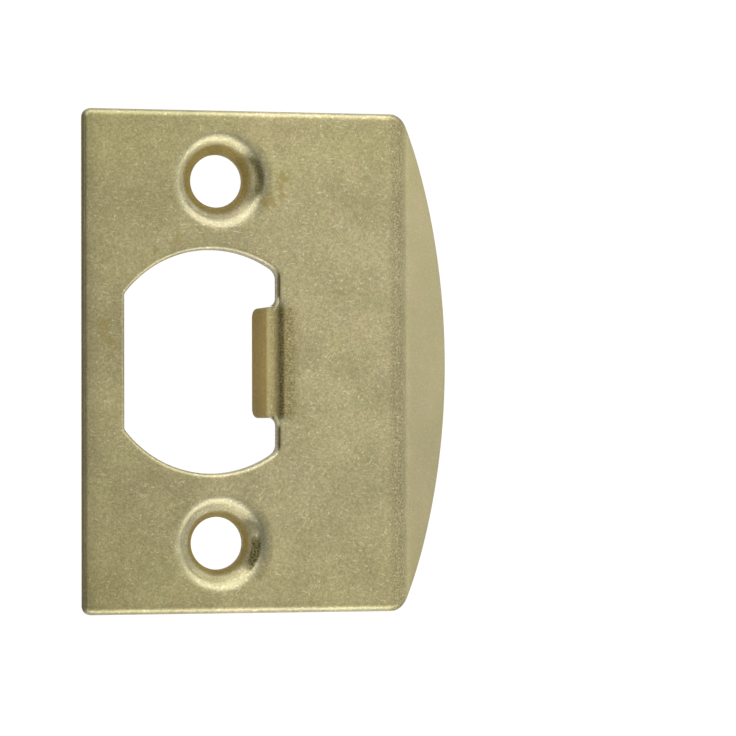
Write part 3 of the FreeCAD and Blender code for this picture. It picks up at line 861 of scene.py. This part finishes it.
face = Recipe(plate.data.materials[FACE])
height = face.math("ABSOLUTE", face.y)
depth = face.math("SUBTRACT", face_z, face.z)
grain = face.noise(4.2, 4.0)
fine = face.noise(9.0, 2.0, stretch=(1.2, 0.8, 1), seed=5.0)
drift = face.noise(0.30, 3.0, seed=2.0)
clouds = face.noise(0.16, 4.0, seed=8.0)
on_lip = face.ramp(face.x, LIP_STARTS, LIP_ALL)
mottle = face.product(
    face.ramp(grain, 0.25, 0.75, 0.79, 1.21),
    face.ramp(fine, 0.25, 0.75, 0.89, 1.11),
    face.ramp(clouds, 0.30, 0.70, 0.90, 1.10),
)
lip_calm_and_shade = face.product(
    face.ramp(grain, 0.25, 0.75, 0.94, 1.06),
    face.ramp(clouds, 0.30, 0.70, 0.97, 1.03),
    # painted shade: the lip darker towards its bottom
    face.ramp(face.y, -24.0, 24.0, 0.80, 0.94),
)
lip_share = face.product(on_lip, face.math("SUBTRACT", lip_calm_and_shade, mottle))
colour = face.mix(face.ramp(drift, 0.35, 0.65), BRASS_GREEN, BRASS_WARM)
colour = face.shade(colour, face.math("ADD", mottle, lip_share))
print("mottle mixed: %d nodes" % len(face.tree.nodes))

# %% [markdown]
# ## Specks and hairlines
#
# Tumbling and handling leave tiny light specks and short, thin scratches. A scratch is the crest of
# a noise that is drawn out along one direction, and kept only here and there. Four directions are
# enough to look accidental.

# %% Specks and hairlines
BRASS_LIGHT = (0.66, 0.60, 0.40, 1)
HAIRLINES = ((6, 13.0), (-18, 17.0), (27, 19.0), (-55, 23.0))
MARKS_ON_FACE, MARKS_ON_LIP = 0.82, 0.2


def hairlines(turned, seed):
    """Short thin lines in one direction."""
    crest = face.noise(1.0, 0.0, stretch=(1.1, 9.0, 1), turned=turned, seed=seed)
    here_and_there = face.noise(0.5, 1.0, seed=seed + 1)
    return face.product(face.ramp(crest, 0.735, 0.795), face.ramp(here_and_there, 0.53, 0.63))


marks = face.ramp(face.noise(3.4, 0.0, seed=11.0), 0.74, 0.80)
for turned, seed in HAIRLINES:
    marks = face.math("MAXIMUM", marks, hairlines(turned, seed))
marks = face.product(marks, face.ramp(on_lip, 0.0, 1.0, MARKS_ON_FACE, MARKS_ON_LIP))
colour = face.mix(marks, colour, BRASS_LIGHT)
print("specks and %d directions of hairlines added" % len(HAIRLINES))

# %% [markdown]
# ## Stains
#
# The photograph shows a few soft olive stains: beside the upper hole, above the opening and at the
# left edge. Each is a spot with a soft edge, warped by noise so that none comes out round.

# %% Stains
OLIVE_STAIN = (0.350, 0.278, 0.100, 1)
STAIN_EDGE = 0.35
# Each stain's place, radius and strength.
STAINS = (
    (7.2, 21.0, 0.50, 0.8), (7.1, 19.7, 0.45, 0.8), (7.0, 18.8, 0.40, 0.6), (5.6, 18.3, 0.70, 0.8),
    (-5.0, 13.8, 0.45, 0.6), (-7.7, 12.6, 0.35, 0.6), (-9.0, 11.5, 0.30, 0.5),
    (-12.9, 2.4, 0.8, 0.4), (-13.4, 4.1, 0.7, 0.5),
)

warp = face.ramp(face.noise(1.6, 2.0, seed=31.0), 0.3, 0.7, -0.45, 0.45)
for x, y, radius, strength in STAINS:
    edge = face.math("ADD", face.away_from(x, y), warp)
    stain = face.ramp(edge, radius - STAIN_EDGE, radius + STAIN_EDGE, strength, 0.0)
    colour = face.mix(stain, colour, OLIVE_STAIN)
print("%d stains laid" % len(STAINS))

# %% [markdown]
# ## Painted shade along the fold
#
# Where the lip is folded, the bend mirrors a dimmer part of the room. A speckled darker band is
# painted along the fold as painted shade, with a smoother painted dark line just past it.

# %% Paint shade along the fold
FOLD_BAND = (20.1, 21.9)
PAST_FOLD = (21.0, 22.2)
FOLD_DARKEST, FOLD_LIGHTEST = 0.42, 0.16
PAST_FOLD_SHADE = 0.2

speckle = face.ramp(face.noise(5.0, 2.0, seed=37.0), 0.42, 0.60)
# painted shade along the fold, broken up by speckle
fold_shade = face.ramp(speckle, 0.0, 1.0, FOLD_DARKEST, FOLD_LIGHTEST)
colour = face.darken(colour, face.product(face.band(face.x, *FOLD_BAND, 0.6), fold_shade))
past_fold_shade = face.band(face.x, *PAST_FOLD, 0.35)
colour = face.darken(colour, face.product(past_fold_shade, PAST_FOLD_SHADE))
print("fold darkened from x = %.1f to %.1f mm" % (FOLD_BAND[0], PAST_FOLD[1]))

# %% [markdown]
# ## Painted shade round the tang
#
# Round the tight bend of the tang the face turns away from the lamps. A nearly black line is
# painted where the bend begins, with dark specks that thin out to the right of it, and the bend
# itself is
# painted a little darker than the face: all painted shade. The brass of the whole corner is a
# little warmer.

# %% Paint shade round the bend of the tang
SHADE_BROWN = (0.085, 0.055, 0.014, 1)
SHADE_OLIVE = (0.070, 0.066, 0.032, 1)
TANG_WARM = (1.0, 0.95, 0.80, 1)
# From, to, softness, darkest and lightest share, and colour of each painted shade line beside the
# tang.
TANG_SHADE_LINES = (
    (6.86, 7.45, 0.2, 0.78, 0.42, SHADE_BROWN),
    (7.4, 8.7, 0.8, 0.54, 0.06, SHADE_OLIVE),
)
BEND_SHADE_STRENGTH = 0.2

along_tang = face.ramp(height, 5.8, 6.8, 1.0, 0.0)
near_tang = face.product(
    face.ramp(face.x, 7.4, 10.0, 1.0, 0.0), along_tang, face.ramp(face.x, 4.0, 5.0)
)
colour = face.tint(near_tang, colour, TANG_WARM)
# painted shade on the bend of the tang
bend_shade = face.product(face.band(face.x, 6.1, 6.5, 0.15), along_tang)
colour = face.darken(colour, face.product(bend_shade, BEND_SHADE_STRENGTH))
# painted shade lines beside the tang
for start, end, soft, strong, weak, dark in TANG_SHADE_LINES:
    line = face.product(face.band(face.x, start, end, soft), along_tang)
    line = face.product(line, face.ramp(speckle, 0.0, 1.0, strong, weak))
    colour = face.mix(line, colour, dark)
print("%d dark lines beside the tang" % len(TANG_SHADE_LINES))

# %% [markdown]
# The flats of the opening above and below the tang have a thin painted dark line too, on the inner
# side of their rounded edge, and the round itself is painted darker there: painted shade where the
# round mirrors a dark part of the room. The left flat has next to none.

# %% Paint shade on the flats of the opening
RIGHT_SHADE_LINE = (6.72, 6.96)
RIGHT_SHADE_STRENGTH = 0.85
RIGHT_ROUND_SHADE = 0.35
LEFT_SHADE_LINE = (-11.68, -11.30)
LEFT_SHADE_STRENGTH = 0.06

along_flat = face.band(height, 7.3, 10.0, 0.3)
right_line_shade = face.product(face.band(face.x, *RIGHT_SHADE_LINE, 0.07), along_flat)
colour = face.mix(face.product(right_line_shade, RIGHT_SHADE_STRENGTH), colour, SHADE_BROWN)
# painted shade: the steep part of the right round darker
steep_round_shade = face.product(
    face.ramp(face.x, 6.74, 6.82, RIGHT_ROUND_SHADE, 0.0), along_flat, face.ramp(face.x, 6.0, 6.3)
)
colour = face.darken(colour, steep_round_shade)
left_line_shade = face.product(
    face.band(face.x, *LEFT_SHADE_LINE, 0.08), face.ramp(height, 7.2, 7.8, 1.0, 0.0)
)
colour = face.darken(colour, face.product(left_line_shade, LEFT_SHADE_STRENGTH))
print("flats darkened at x = %.2f and %.2f mm" % (RIGHT_SHADE_LINE[0], LEFT_SHADE_LINE[0]))

# %% [markdown]
# Below its bend the tang is painted a dull dark brown: painted shade, as it faces down into the dim
# space under the plate. It is painted lighter towards the bend.

# %% Paint shade on the tang
TANG_SHADE_COLOUR = (0.235, 0.170, 0.058)
TANG_ZONE = (4.0, 7.0)

on_tang = face.product(
    face.ramp(depth, 1.3, 2.3),
    face.ramp(height, 6.4, 6.6, 1.0, 0.0),
    face.band(face.x, *TANG_ZONE, 0.3),
)
# painted shade: the tang darker below its bend, lighter towards it
tang_shade = face.shade(TANG_SHADE_COLOUR, face.ramp(depth, 2.5, 6.0, 1.3, 1.0))
colour = face.mix(on_tang, colour, face.shade(tang_shade, mottle))
print("tang coloured")

# %% [markdown]
# ## Painted shade in the dimples, painted highlight on the edges
#
# The cone of a dimple is painted brown round the hole: painted shade in the hollow, painted lighter
# towards its right side. The upper dimple has a broad brown ring that sits a little high, and the
# lower one a thin ring. The rounded edges of the whole plate are painted a paler and cooler brass,
# as a painted highlight.

# %% Paint highlight on the rounds and shade in the cones
CONE_SHADE_COLOUR = (0.310, 0.232, 0.080)
ROUND_HIGHLIGHT = (1.0, 1.03, 1.2, 1)
CONE_RING = (3.70, 4.22)
CONE_SHADE_STRENGTH = 0.85

before_fold = face.ramp(face.x, 19.0, 19.5, 1.0, 0.0)
rounded = face.product(
    face.ramp(depth, 0.01, 0.08), before_fold, face.math("SUBTRACT", 1.0, near_tang)
)
# painted highlight: the rounded edges paler and cooler
colour = face.tint(rounded, colour, ROUND_HIGHLIGHT)
upper_cone = face.away_from(-0.12, SCREW_Y + 0.16)
lower_cone = face.math("ADD", face.away_from(0.0, 0.05 - SCREW_Y), 0.35)
cone = face.math("MINIMUM", upper_cone, lower_cone)
in_cone = face.product(face.ramp(cone, *CONE_RING, 1.0, 0.0), face.ramp(depth, 0.45, 0.8))
# painted shade in the cones, painted lighter towards the right
cone_shade = face.shade(CONE_SHADE_COLOUR, face.ramp(face.x, 2.2, 3.4, 1.0, 1.35))
cone_shade = face.shade(cone_shade, mottle)
colour = face.mix(face.product(in_cone, CONE_SHADE_STRENGTH), colour, cone_shade)
print("brown ring out to %.2f mm from each hole's axis" % CONE_RING[1])

# %% [markdown]
# Round each cone runs the crest of the rim, painted lighter at the left, the top and the bottom as
# a painted highlight. In the lower dimple this highlight reaches further in, because the brown ring
# is thin there.

# %% Paint highlights on the crests
LEFT_HIGHLIGHT_RING = (4.30, 4.62)
LOW_HIGHLIGHT_RING = (4.00, 4.45)
TOP_HIGHLIGHT_RING = (4.10, 4.45)
INNER_HIGHLIGHT_RING = (3.70, 4.45)

hole = face.math("MINIMUM", face.away_from(0.0, SCREW_Y), face.away_from(0.0, -SCREW_Y))
half = face.math("SIGN", face.y)
above_hole = face.math("SUBTRACT", face.y, face.product(half, SCREW_Y))
lower_half = face.ramp(face.y, -1.0, 1.0, 1.0, 0.0)
# painted highlights on the crests of the rims
crest_highlights = face.product(
    face.band(hole, *LEFT_HIGHLIGHT_RING, 0.12), face.ramp(face.x, -4.2, -3.2, 0.30, 0.0)
)
low_highlight = face.product(
    face.band(hole, *LOW_HIGHLIGHT_RING, 0.20), face.ramp(above_hole, -3.2, -1.8, 0.35, 0.0)
)
top_highlight = face.product(
    face.band(hole, *TOP_HIGHLIGHT_RING, 0.15), face.ramp(above_hole, 2.2, 3.4, 0.0, 0.35)
)
inner_highlight = face.product(
    face.band(hole, *INNER_HIGHLIGHT_RING, 0.15), lower_half,
    face.ramp(face.math("ABSOLUTE", above_hole), 2.3, 3.3, 0.0, 0.5),
)
for crest in (low_highlight, top_highlight, inner_highlight):
    crest_highlights = face.math("MAXIMUM", crest_highlights, crest)
colour = face.shade(colour, face.math("ADD", 1.0, crest_highlights))
print("crests lightened between %.2f and %.2f mm" % (INNER_HIGHLIGHT_RING[0], LEFT_HIGHLIGHT_RING[1]))

# %% [markdown]
# At the right of each dimple the rim is painted dull, dark and warmer, and the face just outside it
# a
# little darker: painted shade where the rim mirrors a dark part of the room. The painted dark spot
# lies a little above the middle of the upper hole, and below the middle of the lower one, and
# closer to it.

# %% Paint shade on the rims at the right
SHADE_SPOT_WARM = (1.0, 0.97, 0.78, 1)
OUTSIDE_SHADE = 0.25
SHADE_SPOT = (4.25, 5.10)
LOWER_PATCH_CLOSER = 0.4
PATCH_MIDDLE = -0.5

# painted shade just outside the rim at the right
rim_outside_shade = face.product(
    face.band(hole, 5.1, 6.1, 0.3), face.ramp(face.x, 3.6, 4.8, 0.0, OUTSIDE_SHADE)
)
colour = face.darken(colour, rim_outside_shade)
rim_place = face.math("ADD", hole, face.product(lower_half, LOWER_PATCH_CLOSER))
patch_height = face.math("ADD", half, PATCH_MIDDLE)
off_patch = face.math("ABSOLUTE", face.math("SUBTRACT", above_hole, patch_height))
# painted shade: a dark spot on the rim at the right
shade_spot = face.product(
    face.band(rim_place, *SHADE_SPOT, 0.15),
    face.ramp(face.x, 2.9, 3.8),
    face.ramp(off_patch, 1.6, 2.6, 1.0, 0.0),
)
shade_spot_dark = face.product(
    shade_spot, face.ramp(speckle, 0.0, 1.0, 0.72, 0.40), face.ramp(lower_half, 0.0, 1.0, 1.0, 1.35)
)
colour = face.tint(shade_spot, face.mix(shade_spot_dark, colour, SHADE_OLIVE), SHADE_SPOT_WARM)
print("rims darkened")

# %% [markdown]
# ## The edges and the ends
#
# The left edge is painted brown on its narrow round, and the face is painted a little darker beside
# it: painted shade, as that edge mirrors the dark left side of the room. The left part of the face
# is painted duller than the right, also as painted shade, and both ends are a touch warmer.

# %% Paint shade at the left edge, and warm the ends
LEFT_SHADE_BROWN = (0.22, 0.19, 0.12, 1)
LEFT_SHADE_DULL = (0.83, 0.83, 0.78, 1)
ENDS_WARM = (1.0, 1.0, 0.94, 1)

left_round_shade = face.ramp(face.x, LEFT_EDGE + 0.05, LEFT_EDGE + 0.34, 0.9, 0.0)
colour = face.tint(left_round_shade, colour, LEFT_SHADE_BROWN)
# painted shade: the face darker beside the left edge, and duller over its left part
colour = face.shade(colour, face.ramp(face.x, LEFT_EDGE + 0.3, LEFT_EDGE + 2.2, 0.86, 1.0))
colour = face.tint(face.ramp(face.x, -14.0, 8.0, 1.0, 0.0), colour, LEFT_SHADE_DULL)
colour = face.tint(face.ramp(height, 14.0, 26.0), colour, ENDS_WARM)
face.give(Base_Color=colour)
print("colour finished: %d nodes" % len(face.tree.nodes))

# %% [markdown]
# ## The sheen of the face
#
# Brass reflects with its own colour. The light grains of the mottle are a little smoother than the
# dark ones, and the lip and the rounded edges are the smoothest. In the dimples and on the tang the
# specular tint is turned down, so they give back less light at a low angle: painted shade in the
# reflection.

# %% The sheen of the face
TANG_SHADED_SHEEN = (0.61, 0.57, 0.46, 1)
CONE_SHADED_SHEEN = (0.66, 0.58, 0.40, 1)
PLAIN_SHEEN = (1, 1, 1, 1)
ROUGHEST, SMOOTHEST = 0.50, 0.38

on_edge = face.product(face.ramp(depth, 0.03, 0.10), before_fold)
rough = face.product(
    face.ramp(grain, 0.25, 0.75, ROUGHEST, SMOOTHEST),
    face.ramp(on_lip, 0.0, 1.0, 1.0, 0.92),
    face.ramp(on_edge, 0.0, 1.0, 1.0, 0.82),
)
# painted shade in the reflection of the cones and the tang
sheen = face.mix(in_cone, face.mix(on_tang, PLAIN_SHEEN, TANG_SHADED_SHEEN), CONE_SHADED_SHEEN)
face.give(Metallic=1.0, Roughness=rough, Specular_Tint=sheen)
print("roughness from %.2f to %.2f" % (SMOOTHEST * 0.92, ROUGHEST))

# %% [markdown]
# ## The fine relief
#
# Tumbling leaves pits of about a hundredth of a millimetre, and the punch lets the face sink very
# slightly towards the outline. Both are far too fine for the mesh, so a bump gives them.

# %% The fine relief
PIT_DEPTH = 0.012
SINKS_AT_LEFT, SINKS_AT_ENDS = -0.06, -0.05

from_left = face.ramp(face.x, LEFT_EDGE, LEFT_EDGE + 1.6, SINKS_AT_LEFT, 0.0)
from_ends = face.ramp(height, HALF_HEIGHT - 1.5, HALF_HEIGHT, 0.0, SINKS_AT_ENDS)
relief = face.product(face.math("ADD", from_left, from_ends), MM)
pits = face.product(
    face.math("SUBTRACT", 1.0, on_lip), face.ramp(grain, 0.2, 0.8, 0.0, PIT_DEPTH * MM)
)
bump = face.add("ShaderNodeBump")
bump.inputs["Strength"].default_value = 1.0
bump.inputs["Distance"].default_value = 1.0
face.link(face.math("ADD", relief, pits), bump.inputs["Height"])
face.give(Normal=bump.outputs[0])
print("face finished: %d nodes" % len(face.tree.nodes))

# %% [markdown]
# ## The walls and the back
#
# A sheared wall is dull and greyer, with short streaks in the direction in which the punch went. At
# the left edge its front part is painted browner and the whole left wall reflects darker: painted
# shade, like that on the round above it.

# %% Finish the walls
WALL_DARK = (0.19, 0.165, 0.09, 1)
WALL_LIGHT = (0.29, 0.255, 0.15, 1)
WALL_SHADE_BROWN = (0.42, 0.34, 0.18, 1)
LEFT_WALL_SHADED_SHEEN = (0.66, 0.60, 0.42, 1)
WALL_SHADE_SHEEN = (0.15, 0.12, 0.06, 1)

wall = Recipe(plate.data.materials[WALL])
streaks = wall.noise(5.0, 2.0, stretch=(1, 1, 0.15))
sheared = wall.mix(wall.ramp(streaks, 0.3, 0.7), WALL_DARK, WALL_LIGHT)
left_wall = wall.ramp(wall.x, LEFT_EDGE + 0.175, LEFT_EDGE + 0.575, 1.0, 0.0)
# painted shade: the front of the left wall browner, its reflection darker
left_front_shade = wall.product(left_wall, wall.ramp(wall.z, 1.50, 1.85))
left_wall_shaded_sheen = wall.mix(left_front_shade, LEFT_WALL_SHADED_SHEEN, WALL_SHADE_SHEEN)
wall.give(
    Base_Color=wall.tint(left_front_shade, sheared, WALL_SHADE_BROWN),
    Metallic=1.0,
    Specular_Tint=wall.mix(left_wall, PLAIN_SHEEN, left_wall_shaded_sheen),
    Roughness=wall.ramp(streaks, 0.3, 0.7, 0.58, 0.42),
)
print("walls finished: %d nodes" % len(wall.tree.nodes))

# %% [markdown]
# The back was neither pressed nor tumbled hard. It still has the long soft streaks that the rolling
# mill left along the sheet.

# %% Finish the back
back = Recipe(plate.data.materials[BACK])
rolled = back.noise(1.2, 3.0, stretch=(0.25, 2.2, 1))
back_grain = back.noise(4.0, 3.0, seed=3.0)
back_colour = back.mix(back.ramp(rolled, 0.3, 0.7), BRASS_GREEN, BRASS_WARM)
back.give(
    Base_Color=back.shade(back_colour, back.ramp(back_grain, 0.3, 0.7, 0.84, 1.1)),
    Metallic=1.0,
    Roughness=back.ramp(rolled, 0.3, 0.7, 0.5, 0.38),
)
print("back finished: %d nodes" % len(back.tree.nodes))

# %% [markdown]
# ## The floor
#
# The plate lies on white paper that photographs as pure white right up to its edge. The paper gives
# off an even light of its own instead of catching the lamps, so no shadow falls on it.

# %% Lay the floor
FLOOR_Z = MEASURED_BOX[0][2]
FLOOR_SIZE = 3
PAPER_BASE = (0.04, 0.04, 0.04, 1)

nothing_selected()
bpy.ops.mesh.primitive_plane_add(size=FLOOR_SIZE, location=(0, 0, FLOOR_Z))
floor = bpy.context.object
floor.name = "floor"
white_paper = bpy.data.materials.new("white_paper")
floor.data.materials.append(white_paper)
paper = Recipe(white_paper)
paper.give(Base_Color=PAPER_BASE, Roughness=1.0, Specular_IOR_Level=0.0)
paper.give(Emission_Color=(1, 1, 1, 1), Emission_Strength=1.0)
print("floor at z = %.2f mm" % (FLOOR_Z / MM))

# %% [markdown]
# ## The lights
#
# A satin metal shows its surroundings, blurred, so the lamps are shapes as much as they are light.
# Two long softboxes, one above and one below the plate in the picture, make the bright lines along
# its edges and the crescents in the dimples, each with a weaker glow nearer to overhead. A strip
# overhead, a little to the right, lights the flat face. One softbox at the right lights the lip.
# At the left there are only a faint glow and a strip close to the floor, so the edges on that side
# stay dark. The room is a dim grey.

# %% Hang the lights
ROOM = 0.14
LAMP_AWAY = 700
# Each lamp's name, lean from straight above, direction, width, height and brightness.
LAMPS = (
    ("upper_softbox", 60, 84, 1500, 760, 2.3),
    ("upper_glow", 34, 90, 1200, 400, 0.6),
    ("lower_softbox", 65, -76, 1500, 540, 2.4),
    ("lower_glow", 36, -90, 1200, 400, 0.35),
    ("overhead_strip", 21, 0, 150, 1100, 1.55),
    ("right_softbox", 73, 0, 900, 340, 1.7),
    ("left_glow", 30, 180, 150, 900, 0.25),
    ("left_strip", 88, 180, 900, 260, 2.6),
)

world = bpy.data.worlds.new("studio")
bpy.context.scene.world = world
world.use_nodes = True
world.node_tree.nodes["Background"].inputs["Color"].default_value = (1, 1, 1, 1)
world.node_tree.nodes["Background"].inputs["Strength"].default_value = ROOM


def softbox(name, lean, towards, width, height, brightness):
    """A rectangular lamp that faces the plate."""
    lean, towards = math.radians(lean), math.radians(towards)
    place = Vector((
        math.sin(lean) * math.cos(towards), math.sin(lean) * math.sin(towards), math.cos(lean)
    )) * LAMP_AWAY
    bpy.ops.object.light_add(type="AREA", location=place * MM)
    lamp = bpy.context.object
    lamp.name = name
    lamp.data.shape = "RECTANGLE"
    lamp.data.size = width * MM
    lamp.data.size_y = height * MM
    lamp.data.energy = brightness * math.pi * width * height * MM**2
    lamp.rotation_euler = (-place).to_track_quat("-Z", "Y").to_euler()


for lamp in LAMPS:
    softbox(*lamp)
print("%d lamps hung" % len(LAMPS))

# %% [markdown]
# ## The camera
#
# The photograph was taken with a long lens from the left, about sixteen degrees off the plate's
# face. The place, the turn and the lens come from fitting the corners, holes and bends of the
# measured plate to the photograph.

# %% Set up the camera
CAMERA_PLACE = Vector((-109.5353, -9.7548, 444.9891))
CAMERA_TURN = (1.17138, -15.99717, -0.14655)
CAMERA_LENS = 196.478

bpy.ops.object.camera_add(
    location=CAMERA_PLACE * MM, rotation=[math.radians(turn) for turn in CAMERA_TURN]
)
camera = bpy.context.object
camera.name = "camera"
camera.data.sensor_width = 36
camera.data.lens = CAMERA_LENS
camera.data.clip_start = 10 * MM
bpy.context.scene.camera = camera
bpy.context.scene.view_settings.view_transform = "Standard"
print("camera %.0f mm from the plate" % CAMERA_PLACE.length)
